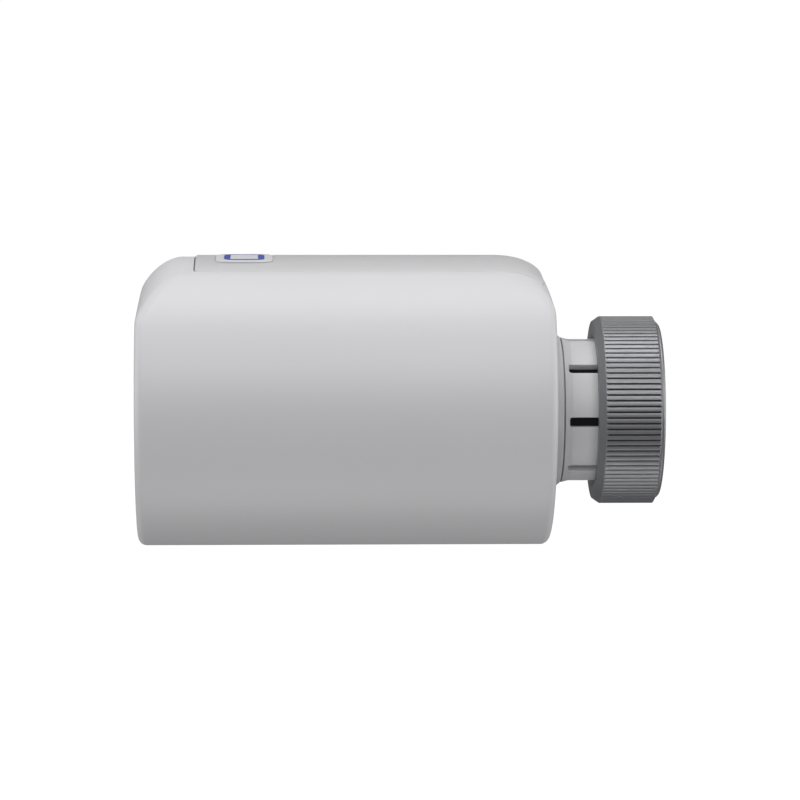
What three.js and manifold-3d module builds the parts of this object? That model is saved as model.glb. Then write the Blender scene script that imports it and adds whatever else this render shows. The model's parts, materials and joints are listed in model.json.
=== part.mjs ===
// Motorised radiator-valve head with an M30 x 1.5 union nut, in millimetres.
// +X runs along the valve axis towards the nut's open end, +Z is up through the display panel,
// and the origin is the centre of the nut's open end. Plain sections are drawn in (y, z).
import * as THREE from "three";
import { ConvexGeometry } from "three/addons/geometries/ConvexGeometry.js";
import { mergeVertices } from "three/addons/utils/BufferGeometryUtils.js";
import Module from "manifold-3d";

const wasm = await Module();
wasm.setup();

// ---------------------------------------------------------------- driving dimensions

const GAP = 0.3; // left between pieces that touch on the real object
const FIT = 0.15; // radial clearance of small pins and screws
const ROUND = 36; // facets around a large circle
const MIDDLE_ROUND = 28; // facets around a cell or the motor
const SMALL_ROUND = 10; // facets around a pin or a screw
const THROUGH = [-150, 50]; // span along X of a cutter that passes right through
const ABOVE = [20, 40]; // span along Z of a cutter that opens the top of the body

// A cylinder about a raised centre line, closed by a side profile whose top is gently crowned across.
const body = {
  left: -98.6,
  right: -20.9,
  radius: 27.9,
  centreZ: 2.4,
  topZ: 28.85, // along the middle
  crownRadius: 60,
  wall: 2.2,
  fillet: 1.6,
  leftCorner: { length: 8.2, height: 9.15, power: 1.7 },
  rightCorner: { length: 8.7, height: 8.0, power: 2.36 },
};
const inside = body.radius - body.wall; // radius of the shell's cavity
const endPlate = { thickness: 2.2, radius: inside - GAP };

// Snap legs stand on a ring inside the shell; each entry is [inner radius, outer radius, x span, width].
const endCapLegs = [endPlate.radius - 0.75, endPlate.radius - 0.05, [-30.2, -22.5], 8];
const endCapBarbs = [endPlate.radius - 0.5, inside + 0.25, [-29.6, -28.2], 8];
const latchPocket = [inside - 1, inside + 0.6, [-29.9, -27.9], 9];
const snapRing = { flankY: 14, flankTop: body.centreZ - 10 };
const cover = { plate: 2, latchWidth: 6, latchDepth: 1.2, latchEnd: 3.6, notchWidth: 12, notchDepth: 0.9 };

const panel = { left: -87.7, right: -22.3, halfWidth: 10.2, thickness: 1.3, proud: 0.35 };
const button = { x: -78.5, length: 10.8, width: 10.0, corner: 2.2, proud: 0.65, crown: 0.3, bottom: 25.2 };
const buttonRim = { grow: 1.4, height: 0.6, skin: 1.2, peg: 1.2, shoulder: 0.9 };
const lightRing = { length: 7.5, width: 7.6, line: 1.1, depth: 0.8, corner: 1.4 };

const nut = {
  length: 12.45,
  rimRadius: 16.9,
  knurlRadius: 17.8,
  knurlDepth: 0.5,
  ridges: 104,
  chamfer: 0.9,
  lipLength: 1.2,
  lipRadius: 16.7,
  threadRadius: 14.19, // minor radius of M30 x 1.5
  threadLength: 7.9,
  reliefRadius: 15.3,
  flangeThickness: 2.25,
  entryChamfer: 0.8,
  ridgeShare: 0.28, // of the pitch, flat at the top of a ridge
};
const collar = {
  radius: 13.45,
  rootRadius: 12.6,
  left: -24.9,
  shoulder: -18.5,
  shoulderRadius: 13.81,
  taperEnd: -17.1,
  front: -8.2,
  lipRadius: 14.9,
  lipLength: 1.7,
  boreRadius: 11.9,
  guideRadius: 9.4,
  guideEnd: -18.6,
  slots: 8,
  slotWidth: 1.9,
  slotStart: -17.7,
};
const flare = { radius: 15.9, right: -18.8, edgeRadius: 14.0, power: 1.2 };

const nutClearance = 0.35; // between the collar and the nut's inner flange
const edgeChamfer = 0.6; // on the front edges of the collar and the plunger
const collarScrew = { circle: 11.2, radius: 0.7, head: [1.5, 0.75], headX: -26.5, tip: -20.6 };

const plunger = { radius: 9.1, face: -10.8, back: -24.2, keyWidth: 2.4, keyRadius: 10.3, keyLength: 3.4 };
const screw = { radius: 2.5, left: -43.5, right: -16.5 };

const MODULE = 0.4; // gear tooth module
const TEETH = { pinion: 12, wheel: 40, output: 60 };
const outputAxis = [0, 0];
const secondAxis = polar(outputAxis, pitchDistance(TEETH.pinion, TEETH.output), 50);
const firstAxis = polar(secondAxis, pitchDistance(TEETH.pinion, TEETH.wheel), -60);
const motorAxis = polar(firstAxis, pitchDistance(TEETH.pinion, TEETH.wheel), 90);
const gearLayer = {
  output: [-29.4, -27.2],
  secondPinion: [-31.0, -27.0],
  secondWheel: [-31.9, -30.1],
  firstPinion: [-33.0, -29.9],
  firstWheel: [-34.5, -32.7],
  motorPinion: [-34.7, -32.5],
};

const outputHub = { radius: 4.7, x: [-34.6, -25.5], bore: screw.radius + 0.2 };
const thrustWasher = { radius: 5.4, x: [-35.1, -34.8] };

const gearbox = { radius: 24.4, top: 21.0, wall: 0.9, back: -36.9, front: -25.2, plate: 1.5 };
const gearboxPosts = [
  [-17.5, 8],
  [-14, -13.5],
  [13, -15.5],
  [-4.5, 17.6],
];
const gearboxScrew = { radius: 0.9, head: [1.9, 1.1], tip: -33, postRadius: 2.2 };
const axleRadius = 0.75;
const motorBossHole = 2;
const motor = { radius: 6, front: -37.2, back: -54, bellBack: -56.6, shaftEnd: -32.3, shaftInside: 8 };
const motorBell = { radius: 5.6, endRadius: 4.6, edge: 0.8 };
const motorCradle = { x: [-52, -46], clearBore: [-60, -40], sideY: 16.4 };

// two AA cells
const cell = { radius: 7.25, left: -95.6, length: 50.5, y: 7.75, z: -12.4, nub: 1.2, nubRadius: 2.7 };
const contact = { thickness: 0.4, inner: 2.5, outer: 13, tail: [3.4, 6], halfHeight: 5 };
const bridge = { thickness: 0.35, halfWidth: 12, halfHeight: 3.5 };
const spring = { tipRadius: 2.2, growth: 1.6, turns: 2.5, wireRadius: 0.3 };
const leadRadius = 0.5;
const chassis = {
  bulkhead: [-94.6, -93.4],
  back: -42.0,
  right: -37.3,
  halfWidth: 16.4,
  deckZ: -3.7,
  wall: 1,
  radius: 25.3,
};
const board = { left: -91, right: -41, halfWidth: 15.5, z: [19.2, 20.2] };
const boardPosts = [
  [-88, 12.5],
  [-88, -12.5],
  [-70, 12.5],
  [-70, -12.5],
];
const boardScrew = { radius: 0.85, headRadius: 1.9, headHeight: 1.1, postRadius: 1.9, reach: 5 };
const radioShield = { x: [-86, -70], halfWidth: 7, height: 2.2 };
const capacitor = { x: [-59, -48], radius: 3.15, y: -9.5 };
const led = { x: [-74, -72], halfWidth: 1, height: 0.8 };
const sensor = { at: [-92.4, -8], z: [19, 20.6], radius: 0.9 };
const connector = { x: [-65, -60], y: [4.4, 10.4], height: 2.4 };
const displayWindow = { x: [-69, -41], halfWidth: 5 };
const lightMask = { margin: 1.5, wall: 1, floor: 1.4, cells: 3 };
const displayHeight = 1.9;
const switchBody = { half: 3, height: 2.9, wellFloor: 0.8, wellRadius: 1.35 };
const stem = { radius: 1.05, foot: 2.2 };

// ---------------------------------------------------------------- plain geometry helpers

function polar([y, z], distance, degrees) {
  const angle = THREE.MathUtils.degToRad(degrees);
  return [y + distance * Math.cos(angle), z + distance * Math.sin(angle)];
}

function pitchDistance(teeth, otherTeeth) {
  return (MODULE * (teeth + otherTeeth)) / 2;
}

// A closed three.js geometry as a manifold-3d solid with its faces outwards.
function solid(geometry) {
  const bare = geometry.clone();
  bare.deleteAttribute("normal");
  bare.deleteAttribute("uv");
  const merged = mergeVertices(bare, 1e-4);
  const corners = [];
  for (let i = 0; i < merged.index.count; i += 3) {
    const [a, b, c] = [0, 1, 2].map((k) => merged.index.getX(i + k));
    if (a !== b && b !== c && c !== a) corners.push([a, b, c]);
  }
  const make = (triangles) =>
    new wasm.Manifold(
      new wasm.Mesh({
        numProp: 3,
        vertProperties: Float32Array.from(merged.attributes.position.array),
        triVerts: Uint32Array.from(triangles.flat()),
      }),
    );
  const made = make(corners);
  return made.volume() > 0 ? made : make(corners.map(([a, b, c]) => [a, c, b]));
}

function box([x0, x1], [y0, y1], [z0, z1]) {
  const geometry = new THREE.BoxGeometry(x1 - x0, y1 - y0, z1 - z0);
  return solid(geometry.translate((x0 + x1) / 2, (y0 + y1) / 2, (z0 + z1) / 2));
}

// A ring or a solid of revolution about an axis along X; the profile's points are [x, radius].
function turned(profile, facets = ROUND, [y, z] = [0, 0]) {
  const points = profile.map(([x, radius]) => new THREE.Vector2(radius, x));
  const toX = new THREE.Matrix4().makeBasis(
    new THREE.Vector3(0, 0, 1),
    new THREE.Vector3(1, 0, 0),
    new THREE.Vector3(0, 1, 0),
  );
  const geometry = new THREE.LatheGeometry(points, facets).applyMatrix4(toX);
  return solid(geometry.translate(0, y, z));
}

function rod([x0, x1], radius, centre = [0, 0], facets = ROUND) {
  const profile = [
    [x0, 0],
    [x0, radius],
    [x1, radius],
    [x1, 0],
  ];
  return turned(profile, facets, centre);
}

function tube([x0, x1], radius, bore, centre = [0, 0], facets = ROUND) {
  const profile = [
    [x0, bore],
    [x0, radius],
    [x1, radius],
    [x1, bore],
    [x0, bore],
  ];
  return turned(profile, facets, centre);
}

// An upright rod along Z.
function post([x, y], [z0, z1], radius, facets = SMALL_ROUND) {
  const geometry = new THREE.CylinderGeometry(radius, radius, z1 - z0, facets);
  return solid(geometry.rotateX(Math.PI / 2).translate(x, y, (z0 + z1) / 2));
}

// A (y, z) outline pushed along X.
function alongX(shape, [x0, x1], curveSegments = ROUND / 2) {
  const options = { depth: x1 - x0, bevelEnabled: false, curveSegments };
  const toX = new THREE.Matrix4().makeBasis(
    new THREE.Vector3(0, 1, 0),
    new THREE.Vector3(0, 0, 1),
    new THREE.Vector3(1, 0, 0),
  );
  const geometry = new THREE.ExtrudeGeometry(shape, options).applyMatrix4(toX);
  return solid(geometry.translate(x0, 0, 0));
}

// An (x, z) outline pushed along Y, evenly about the middle plane, and bent down to the crown.
function alongCrown(shape, halfWidth) {
  const options = { depth: 2 * halfWidth, bevelEnabled: false, steps: 4 };
  const toY = new THREE.Matrix4().makeBasis(
    new THREE.Vector3(1, 0, 0),
    new THREE.Vector3(0, 0, 1),
    new THREE.Vector3(0, -1, 0),
  );
  const geometry = new THREE.ExtrudeGeometry(shape, options).applyMatrix4(toY);
  const points = geometry.translate(0, halfWidth, 0).getAttribute("position");
  for (let i = 0; i < points.count; i++) {
    const rise = 1 + (points.getZ(i) - body.topZ) / body.rightCorner.height;
    points.setZ(i, points.getZ(i) - crownDrop(points.getY(i), rise));
  }
  return solid(geometry);
}

// An (x, y) outline pushed along Z.
function alongZ(shape, [z0, z1], curveSegments = 3) {
  const options = { depth: z1 - z0, bevelEnabled: false, curveSegments };
  const geometry = new THREE.ExtrudeGeometry(shape, options);
  return solid(geometry.translate(0, 0, z0));
}

function outline(points) {
  return new THREE.Shape(points.map(([a, b]) => new THREE.Vector2(a, b)));
}

// A rectangle with round corners; with the corner at half the width it is a pill.
function roundedRectangle(length, width, corner, x = 0) {
  const [a, b] = [length / 2 - corner, width / 2 - corner];
  const shape = new THREE.Shape();
  shape.absarc(x + a, b, corner, 0, Math.PI / 2);
  shape.absarc(x - a, b, corner, Math.PI / 2, Math.PI);
  shape.absarc(x - a, -b, corner, Math.PI, 1.5 * Math.PI);
  shape.absarc(x + a, -b, corner, 1.5 * Math.PI, 2 * Math.PI);
  return shape;
}

// A circle about the body's centre line with its top cut off level.
function flatToppedCircle(radius, top) {
  const angle = Math.asin((top - body.centreZ) / radius);
  const shape = new THREE.Shape();
  shape.absarc(0, body.centreZ, radius, angle, Math.PI - angle, true);
  return shape;
}

// [x, z, rise] in the middle plane, at turn (0 at the end face, a right angle on the top) of a
// rounded top corner; rise is the share of the corner's height.
function cornerPoint(side, turn, inset) {
  const { length, height, power } = side < 0 ? body.leftCorner : body.rightCorner;
  const faceX = side < 0 ? body.left : body.right;
  const rise = Math.sin(turn) ** (2 / power);
  return [
    faceX - side * length + side * (length - inset) * Math.cos(turn) ** (2 / power),
    body.topZ - height + (height - inset) * rise,
    rise,
  ];
}

// How far the crown lies below its middle at y.
function crownDrop(y, rise) {
  return (rise * y ** 2) / (2 * body.crownRadius);
}

// The y where the crown, topZ high in the middle, meets a circle about the body's centre line.
function crownEdge(topZ, rise, radius) {
  const bend = rise / (2 * body.crownRadius);
  const b = 1 + 2 * bend * body.centreZ;
  const c = topZ - bend * (radius ** 2 - body.centreZ ** 2);
  const z = (2 * c) / (b + Math.sqrt(b ** 2 - 4 * bend * c));
  return Math.sqrt(Math.max(0, radius ** 2 - (z - body.centreZ) ** 2));
}

function cornerCurve(side, fromTurn, toTurn, inset, steps = 4) {
  return Array.from({ length: steps + 1 }, (_, i) =>
    cornerPoint(side, fromTurn + ((toTurn - fromTurn) * i) / steps, inset),
  );
}

// ---------------------------------------------------------------- the white body

// The convex body, everywhere inset from the outside. The fillet rounds the rims of its ends and
// fades out towards the top.
function bodySolid(inset, fillet) {
  const points = [];
  const addPair = (x, y, z) => points.push(new THREE.Vector3(x, y, z), new THREE.Vector3(x, -y, z));
  const stepAngle = THREE.MathUtils.degToRad(11);
  const crownY = 6;
  const cornerSteps = 4;
  for (const turn of fillet ? [0, Math.PI / 4, Math.PI / 2] : [Math.PI / 2]) {
    const radiusLoss = 1 - Math.cos(turn);
    const depth = 1 - Math.sin(turn);
    for (const side of [-1, 1]) {
      const radius = body.radius - inset - fillet * radiusLoss;
      const [faceX, cornerZ] = cornerPoint(side, 0, inset + fillet * depth);
      const cornerAngle = Math.asin((cornerZ - body.centreZ) / radius);
      for (let angle = -Math.PI / 2; angle < cornerAngle; angle += stepAngle) {
        addPair(faceX, radius * Math.cos(angle), body.centreZ + radius * Math.sin(angle));
      }
      for (let i = 0; i <= cornerSteps; i++) {
        const cornerTurn = (Math.PI / 2) * (i / cornerSteps);
        const edge = fillet * Math.cos(cornerTurn);
        const [x, topZ, rise] = cornerPoint(side, cornerTurn, inset + edge * depth);
        const rimY = crownEdge(topZ, rise, body.radius - inset - edge * radiusLoss);
        for (const y of [0, crownY, rimY]) addPair(x, y, topZ - crownDrop(y, rise));
      }
    }
  }
  return solid(new ConvexGeometry(points));
}

// The strip between two depths under the body's top, from the panel's left end round the corner.
function stripOutline(left, right, upperInset, lowerInset) {
  const { length, power } = body.rightCorner;
  const endTurn = (inset) => {
    const reach = (right - body.right + length) / (length - inset);
    return Math.acos(Math.min(1, reach) ** (power / 2));
  };
  return outline([
    [left, body.topZ - lowerInset],
    [left, body.topZ - upperInset],
    ...cornerCurve(1, Math.PI / 2, endTurn(upperInset), upperInset),
    ...cornerCurve(1, endTurn(lowerInset), Math.PI / 2, lowerInset),
  ]);
}

// The button's outline pushed along Z, made larger all round by grow.
function buttonOutline(grow, z) {
  const { length, width, corner, x } = button;
  return alongZ(roundedRectangle(length + 2 * grow, width + 2 * grow, corner + grow, x), z);
}

// The hole that the button moves in.
function buttonHole() {
  return buttonOutline(GAP, ABOVE);
}

function makeHousingShell() {
  const { left, right, proud, thickness, halfWidth } = panel;
  const recess = stripOutline(left - GAP, right + GAP, -3, thickness - proud + GAP);
  const leftTop = body.topZ - body.leftCorner.height - GAP;
  const rightTop = body.topZ - body.rightCorner.height - GAP;
  const leftHole = flatToppedCircle(inside, leftTop);
  const rightHole = flatToppedCircle(inside, rightTop);
  return bodySolid(0, body.fillet)
    .subtract(bodySolid(body.wall, 0))
    .subtract(alongX(leftHole, [body.left - 1, body.left + body.wall + 1]))
    .subtract(alongX(rightHole, [body.right - body.wall - 1, body.right + 1]))
    .subtract(alongCrown(recess, halfWidth + GAP))
    .subtract(buttonHole())
    .subtract(box(displayWindow.x, [-displayWindow.halfWidth, displayWindow.halfWidth], ABOVE))
    .subtract(snapLegs(...latchPocket));
}

function makeDisplayPanel() {
  const { left, right, proud, thickness, halfWidth } = panel;
  const strip = stripOutline(left, right, -proud, thickness - proud);
  return alongCrown(strip, halfWidth).subtract(buttonHole());
}

// Pads of a thin ring about the body's centre line, at the sides and low on both flanks.
function snapLegs(innerRadius, outerRadius, xSpan, width) {
  const ring = tube(xSpan, outerRadius, innerRadius, [0, body.centreZ]);
  const half = width / 2;
  const { flankY, flankTop } = snapRing;
  const across = [-body.radius, body.radius];
  const pads = [box(THROUGH, across, [body.centreZ - half, body.centreZ + half])];
  for (const y of [-flankY, flankY]) {
    pads.push(box(THROUGH, [y - half, y + half], [-body.radius, flankTop]));
  }
  return ring.intersect(pads.reduce((a, b) => a.add(b)));
}

// The removable plate at the left end, with side latches and a nail notch at its lower edge.
function makeBatteryCover() {
  const top = body.topZ - body.leftCorner.height - 2 * GAP;
  const { radius } = endPlate;
  const plateSpan = [body.left, body.left + cover.plate];
  const latchSpan = [body.left + 1, body.left + cover.latchEnd];
  const atTheSides = box(THROUGH, [-radius, radius], [-10, 10]);
  const latches = snapLegs(radius - cover.latchDepth, radius, latchSpan, cover.latchWidth);
  const notchZ = body.centreZ - radius;
  const notch = box(
    [body.left - 1, body.left + cover.notchDepth],
    [-cover.notchWidth / 2, cover.notchWidth / 2],
    [notchZ - 1, notchZ + 1.4],
  );
  return alongX(flatToppedCircle(radius, top), plateSpan)
    .add(latches.intersect(atTheSides))
    .subtract(notch);
}

// A concave taper from one [x, radius] to another, steepest at its start.
function taper([x0, radius0], [x1, radius1], power, steps = 4) {
  return Array.from({ length: steps + 1 }, (_, i) => [
    x0 + ((x1 - x0) * i) / steps,
    radius1 + (radius0 - radius1) * (1 - i / steps) ** power,
  ]);
}

// The fixed plate at the right end, with the flared boss round the neck and its snap legs.
function makeEndCap() {
  const top = body.topZ - body.rightCorner.height - 2 * GAP;
  const plateSpan = [body.right - endPlate.thickness, body.right];
  const boss = turned([
    [body.right - 1, collar.rootRadius + GAP],
    [body.right - 1, flare.radius],
    ...taper([body.right, flare.radius], [flare.right, flare.edgeRadius], flare.power),
    [flare.right, collar.rootRadius + GAP],
    [body.right - 1, collar.rootRadius + GAP],
  ]);
  return alongX(flatToppedCircle(endPlate.radius, top), plateSpan)
    .subtract(rod(THROUGH, collar.rootRadius + GAP))
    .add(boss)
    .add(snapLegs(...endCapLegs))
    .add(snapLegs(...endCapBarbs));
}

// ---------------------------------------------------------------- neck, nut and plunger

function makeCollar() {
  const { radius, rootRadius, left, shoulder, front, lipRadius, lipLength, boreRadius } = collar;
  const { guideRadius, guideEnd, slots, slotWidth, slotStart, shoulderRadius, taperEnd } = collar;
  let made = turned([
    [left, guideRadius],
    [left, rootRadius],
    [shoulder, rootRadius],
    ...taper([shoulder, shoulderRadius], [taperEnd, radius], flare.power, 2),
    [front - lipLength, radius],
    [front - lipLength, lipRadius],
    [front - edgeChamfer, lipRadius],
    [front, lipRadius - edgeChamfer],
    [front, boreRadius],
    [guideEnd, boreRadius],
    [guideEnd, guideRadius],
    [left, guideRadius],
  ]);
  for (let i = 0; i < slots / 2; i++) {
    const across = [-lipRadius - 1, lipRadius + 1];
    const slot = box([slotStart, 0], across, [-slotWidth / 2, slotWidth / 2]);
    made = made.subtract(slot.rotate([(360 / slots) * i, 0, 0]));
  }
  const keyway = plunger.keyWidth / 2 + GAP;
  const reach = plunger.keyRadius + GAP;
  made = made.subtract(box([left - 1, guideEnd + 1], [-reach, reach], [-keyway, keyway]));
  for (const centre of collarScrewCentres()) {
    const hole = [left - 1, collarScrew.tip + 0.6];
    made = made.subtract(rod(hole, collarScrew.radius + FIT, centre, SMALL_ROUND));
  }
  return made;
}

function collarScrewCentres() {
  return [90, 210, 330].map((degrees) => polar([0, 0], collarScrew.circle, degrees));
}

// The outline of the knurl: flat ridges with narrow V grooves between them.
function knurlOutline() {
  const points = [];
  const pitch = (2 * Math.PI) / nut.ridges;
  const outer = nut.knurlRadius + 1;
  const depth = nut.knurlRadius - nut.knurlDepth;
  const ridgeHalf = (pitch * nut.ridgeShare) / 2;
  for (let i = 0; i < nut.ridges; i++) {
    const ridge = pitch * (i + 0.5);
    points.push([outer * Math.cos(ridge - ridgeHalf), outer * Math.sin(ridge - ridgeHalf)]);
    points.push([outer * Math.cos(ridge + ridgeHalf), outer * Math.sin(ridge + ridgeHalf)]);
    const valley = pitch * (i + 1);
    points.push([depth * Math.cos(valley), depth * Math.sin(valley)]);
  }
  return outline(points);
}

function makeUnionNut() {
  const left = -nut.length;
  const blank = turned(
    [
      [left, 0],
      [left, nut.rimRadius],
      [left + nut.chamfer, nut.knurlRadius],
      [-nut.lipLength, nut.knurlRadius],
      [-nut.lipLength, nut.lipRadius],
      [0, nut.lipRadius],
      [0, 0],
    ],
    nut.ridges,
  );
  const flangeBore = collar.radius + nutClearance;
  const bore = turned([
    [left - 1, 0],
    [left - 1, flangeBore],
    [left + nut.flangeThickness, flangeBore],
    [left + nut.flangeThickness, nut.reliefRadius],
    [-nut.threadLength, nut.reliefRadius],
    [-nut.threadLength, nut.threadRadius],
    [-nut.entryChamfer, nut.threadRadius],
    [0, nut.threadRadius + nut.entryChamfer],
    [1, nut.threadRadius + nut.entryChamfer],
    [1, 0],
  ]);
  return blank.intersect(alongX(knurlOutline(), [left - 1, 1])).subtract(bore);
}

function makePlunger() {
  const { radius, face, back, keyWidth, keyRadius, keyLength } = plunger;
  const head = turned([
    [back, 0],
    [back, radius],
    [face - edgeChamfer, radius],
    [face, radius - edgeChamfer],
    [face, 0],
  ]);
  const keySpan = [back, back + keyLength];
  return head
    .add(box(keySpan, [-keyRadius, keyRadius], [-keyWidth / 2, keyWidth / 2]))
    .subtract(rod([back - 1, screw.right + GAP], screw.radius + FIT, [0, 0], SMALL_ROUND));
}

function makeDriveScrew() {
  return rod([screw.left, screw.right], screw.radius, [0, 0], SMALL_ROUND);
}

// ---------------------------------------------------------------- gears

function involute(angle) {
  return Math.tan(angle) - angle;
}

// A spur gear's outline with straight-sided teeth; phase is the angle of one tooth's middle.
function gearOutline(teeth, [cy, cz], phase) {
  const pitchRadius = (MODULE * teeth) / 2;
  const pressure = THREE.MathUtils.degToRad(20);
  const baseRadius = pitchRadius * Math.cos(pressure);
  const tipRadius = pitchRadius + 0.85 * MODULE;
  const rootRadius = pitchRadius - 1.25 * MODULE;
  const backlash = 0.08 / pitchRadius;
  const halfAngleAt = (radius) => {
    const flank = Math.acos(Math.min(1, baseRadius / radius));
    return Math.PI / (2 * teeth) + involute(pressure) - involute(flank) - backlash;
  };
  const points = [];
  for (let i = 0; i < teeth; i++) {
    const middle = phase + (2 * Math.PI * i) / teeth;
    for (const [radius, side] of [
      [rootRadius, -1],
      [tipRadius, -1],
      [tipRadius, 1],
      [rootRadius, 1],
    ]) {
      const angle = middle + side * halfAngleAt(radius);
      points.push([cy + radius * Math.cos(angle), cz + radius * Math.sin(angle)]);
    }
  }
  return outline(points);
}

// The phase at which a gear meshes with a gear whose phase is known.
function meshedPhase(centre, teeth, knownCentre, knownTeeth, knownPhase) {
  const towards = Math.atan2(centre[1] - knownCentre[1], centre[0] - knownCentre[0]);
  const knownPitch = (2 * Math.PI) / knownTeeth;
  const share = (towards - knownPhase) / knownPitch;
  const within = share - Math.floor(share);
  return towards + Math.PI - (0.5 - within) * ((2 * Math.PI) / teeth);
}

const secondPinionPhase = meshedPhase(secondAxis, TEETH.pinion, outputAxis, TEETH.output, 0);
const firstPinionPhase = meshedPhase(firstAxis, TEETH.pinion, secondAxis, TEETH.wheel, 0);
const motorPinionPhase = meshedPhase(motorAxis, TEETH.pinion, firstAxis, TEETH.wheel, 0);

// A wheel and a pinion moulded in one piece on a bored hub.
function makeCompoundGear(centre, wheelLayer, pinionLayer, pinionPhase) {
  const bore = rod(THROUGH, axleRadius + FIT, centre, SMALL_ROUND);
  return alongX(gearOutline(TEETH.wheel, centre, 0), wheelLayer)
    .add(alongX(gearOutline(TEETH.pinion, centre, pinionPhase), pinionLayer))
    .subtract(bore);
}

function makeOutputGear() {
  return alongX(gearOutline(TEETH.output, outputAxis, 0), gearLayer.output)
    .add(rod(outputHub.x, outputHub.radius))
    .subtract(rod(THROUGH, outputHub.bore, outputAxis, SMALL_ROUND));
}

function makeMotorPinion() {
  const shaftHole = rod(THROUGH, axleRadius + FIT, motorAxis, SMALL_ROUND);
  return alongX(
    gearOutline(TEETH.pinion, motorAxis, motorPinionPhase),
    gearLayer.motorPinion,
  ).subtract(shaftHole);
}

function makeAxlePin(centre) {
  return rod([gearbox.back + 0.2, gearbox.front - 0.2], axleRadius, centre, SMALL_ROUND);
}

// ---------------------------------------------------------------- gearbox and motor

// The cup that carries the gear train, with a screw post for each cover screw.
function makeGearboxFrame() {
  const { radius, top, wall, back, front, plate } = gearbox;
  const rim = front - plate - GAP;
  let made = alongX(flatToppedCircle(radius, top), [back, rim]).subtract(
    alongX(flatToppedCircle(radius - wall, top - wall), [back + plate, rim + 1]),
  );
  for (const centre of gearboxPosts) {
    const column = rod([back, rim], gearboxScrew.postRadius, centre, SMALL_ROUND);
    made = made.add(column.intersect(alongX(flatToppedCircle(radius, top), [back, rim])));
  }
  for (const centre of gearboxPosts) {
    const hole = [gearboxScrew.tip - 0.5, rim + 1];
    made = made.subtract(rod(hole, gearboxScrew.radius + FIT, centre, SMALL_ROUND));
  }
  for (const centre of [secondAxis, firstAxis]) {
    made = made.subtract(rod(THROUGH, axleRadius + FIT, centre, SMALL_ROUND));
  }
  return made
    .subtract(rod(THROUGH, screw.radius + GAP, outputAxis, SMALL_ROUND))
    .subtract(rod(THROUGH, motorBossHole, motorAxis, SMALL_ROUND));
}

function makeGearboxCover() {
  const { radius, top, front, plate } = gearbox;
  let made = alongX(flatToppedCircle(radius, top), [front - plate, front]);
  made = made.subtract(rod(THROUGH, outputHub.radius + GAP));
  for (const centre of gearboxPosts) {
    made = made.subtract(rod(THROUGH, gearboxScrew.radius + FIT, centre, SMALL_ROUND));
  }
  for (const centre of [secondAxis, firstAxis]) {
    made = made.subtract(rod(THROUGH, axleRadius + FIT, centre, SMALL_ROUND));
  }
  const counterbore = [front - plate - 1, front - 0.5];
  for (const centre of collarScrewCentres()) {
    made = made.subtract(rod(THROUGH, collarScrew.radius + FIT, centre, SMALL_ROUND));
    made = made.subtract(rod(counterbore, collarScrew.head[0] + GAP, centre, SMALL_ROUND));
  }
  return made;
}

function makeMotorCan() {
  const shaftHole = [motor.front - motor.shaftInside - 1, 0];
  return rod([motor.back, motor.front], motor.radius, motorAxis, MIDDLE_ROUND).subtract(
    rod(shaftHole, axleRadius + GAP, motorAxis, SMALL_ROUND),
  );
}

function makeMotorEndBell() {
  const x = motor.back - GAP;
  const profile = [
    [motor.bellBack, 0],
    [motor.bellBack, motorBell.endRadius],
    [motor.bellBack + motorBell.edge, motorBell.radius],
    [x, motorBell.radius],
    [x, 0],
  ];
  return turned(profile, MIDDLE_ROUND, motorAxis);
}

function makeMotorShaft() {
  const span = [motor.front - motor.shaftInside, motor.shaftEnd];
  return rod(span, axleRadius, motorAxis, SMALL_ROUND);
}

// ---------------------------------------------------------------- chassis and batteries

// The closed trough that holds both cells, its left bulkhead, the board posts and the motor cradle.
function makeChassis() {
  const { bulkhead, back, right, halfWidth, deckZ, wall, radius } = chassis;
  const trough = (inset) => {
    const lowRadius = radius - inset;
    const half = halfWidth - inset;
    const angle = Math.acos(half / lowRadius);
    const shape = new THREE.Shape();
    shape.absarc(0, body.centreZ, lowRadius, -angle, angle - Math.PI, true);
    shape.lineTo(-half, deckZ - inset);
    shape.lineTo(half, deckZ - inset);
    return shape;
  };
  const bulkheadTop = body.topZ - body.leftCorner.height - 2 * GAP;
  let made = alongX(trough(0), [bulkhead[0], back + wall + GAP], 8)
    .add(box([back, right], [-halfWidth, halfWidth], [deckZ - wall, deckZ]))
    .add(alongX(flatToppedCircle(radius, bulkheadTop), bulkhead));
  made = made.subtract(alongX(trough(wall), [bulkhead[0] - 1, back], 8));
  for (const [x, y] of boardPosts) {
    made = made.add(post([x, y], [deckZ - 0.5, board.z[0] - GAP], boardScrew.postRadius));
    const hole = [board.z[0] - boardScrew.reach - 1, board.z[0] + 1];
    made = made.subtract(post([x, y], hole, boardScrew.radius + FIT));
  }
  const [motorY, motorZ] = motorAxis;
  const cradleY = [motorY - motor.radius, motorCradle.sideY];
  const cradle = box(motorCradle.x, cradleY, [deckZ - 0.5, motorZ - motor.radius / 2]);
  const canSpace = rod(motorCradle.clearBore, motor.radius + GAP, motorAxis, MIDDLE_ROUND);
  made = made.add(cradle).subtract(canSpace);
  for (const side of [-1, 1]) made = made.subtract(contactTail(side, GAP));
  return made;
}

function makeCell(side) {
  const { radius, left, length, z, nub, nubRadius } = cell;
  const right = left + length;
  // side -1 has its positive nub at the left end, side 1 at the right end
  const profile =
    side < 0
      ? [
          [left, 0],
          [left, nubRadius],
          [left + nub, nubRadius],
          [left + nub, radius],
          [right, radius],
          [right, 0],
        ]
      : [
          [left, 0],
          [left, radius],
          [right - nub, radius],
          [right - nub, nubRadius],
          [right, nubRadius],
          [right, 0],
        ];
  return turned(profile, MIDDLE_ROUND, [side * cell.y, z]);
}

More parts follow.
